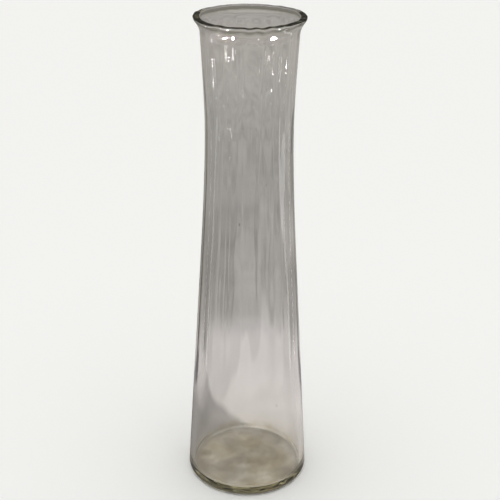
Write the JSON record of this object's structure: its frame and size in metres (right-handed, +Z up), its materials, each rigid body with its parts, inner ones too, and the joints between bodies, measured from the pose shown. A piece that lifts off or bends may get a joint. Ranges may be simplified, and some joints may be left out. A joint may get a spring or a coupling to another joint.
{
  "type": "flower vase",
  "caption": "Tall clear glass column vase with a mouth flared to a flat fire-polished lip, a waisted column with optic panels and a thick round foot with a shallow push-up.",
  "frame": {"origin": "centre of the foot's resting plane", "axes": "+Z up along the vase's axis, out of its mouth; -Y is the front"},
  "size_m": [0.0644, 0.0644, 0.25],
  "materials": {
    "clear_glass": "clear soda-lime glass with a faint grey-olive tint, fire-polished lip, light water marks and wear on the foot"
  },
  "bodies": {
    "root": {"flared_lip": "clear_glass", "flared_neck": "clear_glass", "panelled_column": "clear_glass", "heavy_foot": "clear_glass"}
  },
  "joints": []
}
